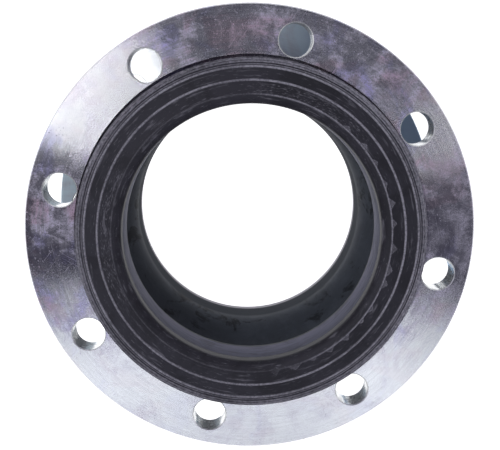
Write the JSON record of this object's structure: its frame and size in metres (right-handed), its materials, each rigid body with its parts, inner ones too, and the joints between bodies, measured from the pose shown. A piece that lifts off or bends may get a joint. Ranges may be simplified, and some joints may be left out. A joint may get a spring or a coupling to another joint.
{
  "type": "rubber expansion joint",
  "caption": "Flanged rubber expansion joint: a moulded single-arch rubber bellows between loose drilled steel flanges, for taking up movement in pipework.",
  "frame": {"origin": "on the flanges' axis, in the plane of the rear sealing face, which the joint stands on", "axes": "+Z along the bore from the rear sealing face to the front one; +X and +Y are square to it, with the front flange's first bolt hole 32 degrees from +X towards +Y"},
  "size_m": [0.2794, 0.2794, 0.1524],
  "materials": {
    "zinc_plated_steel": "turned steel with bright zinc plating",
    "sealing_rubber": "matt moulded rubber",
    "liner_rubber": "smooth moulded rubber",
    "cover_rubber": "matt moulded rubber",
    "filler_rubber": "dull hard rubber",
    "rubbered_nylon_cord": "nylon tyre cord skimmed with rubber",
    "bead_wire_steel": "drawn bronze-washed steel wire"
  },
  "bodies": {
    "rear_end": {"rear_sealing_collar": "sealing_rubber", "rear_bead_filler": "filler_rubber", "rear_bead_wire_1": "bead_wire_steel", "rear_bead_wire_2": "bead_wire_steel", "rear_bead_wire_3": "bead_wire_steel", "rear_bead_wire_4": "bead_wire_steel", "rear_bead_wire_5": "bead_wire_steel"},
    "rear_swivel": {"rear_flange": "zinc_plated_steel"},
    "axial_section": {"inner_liner": "liner_rubber", "cord_ply_1": "rubbered_nylon_cord", "cord_ply_2": "rubbered_nylon_cord"},
    "bending_section": {"cord_ply_3": "rubbered_nylon_cord", "cord_ply_4": "rubbered_nylon_cord", "outer_cover": "cover_rubber"},
    "front_end": {"front_sealing_collar": "sealing_rubber", "front_bead_filler": "filler_rubber", "front_bead_wire_1": "bead_wire_steel", "front_bead_wire_2": "bead_wire_steel", "front_bead_wire_3": "bead_wire_steel", "front_bead_wire_4": "bead_wire_steel", "front_bead_wire_5": "bead_wire_steel"},
    "front_swivel": {"front_flange": "zinc_plated_steel"}
  },
  "joints": [
    {"name": "rear_flange_swivel", "type": "hinge", "parent": "rear_end", "child": "rear_swivel", "pos_m": [0, 0, 0.012], "axis": [0, 0, 1], "continuous": true},
    {"name": "axial_travel", "type": "slide", "parent": "rear_end", "child": "axial_section", "axis": [0, 0, 1], "range_m": [-0.012, 0.01], "stiffness_N_per_m": 75000, "deforming": ["inner_liner", "cord_ply_1", "cord_ply_2", "cord_ply_3", "cord_ply_4", "outer_cover"]},
    {"name": "angular_deflection", "type": "hinge", "parent": "axial_section", "child": "bending_section", "pos_m": [0, 0, 0.0762], "axis": [0, 1, 0], "range_deg": [-10, 10], "stiffness_Nm_per_rad": 400, "deforming": ["inner_liner", "cord_ply_1", "cord_ply_2", "cord_ply_3", "cord_ply_4", "outer_cover"]},
    {"name": "lateral_offset", "type": "slide", "parent": "bending_section", "child": "front_end", "axis": [1, 0, 0], "range_m": [-0.01, 0.01], "stiffness_N_per_m": 80000, "deforming": ["inner_liner", "cord_ply_1", "cord_ply_2", "cord_ply_3", "cord_ply_4", "outer_cover"]},
    {"name": "front_flange_swivel", "type": "hinge", "parent": "front_end", "child": "front_swivel", "pos_m": [0, 0, 0.1404], "axis": [0, 0, 1], "continuous": true}
  ]
}
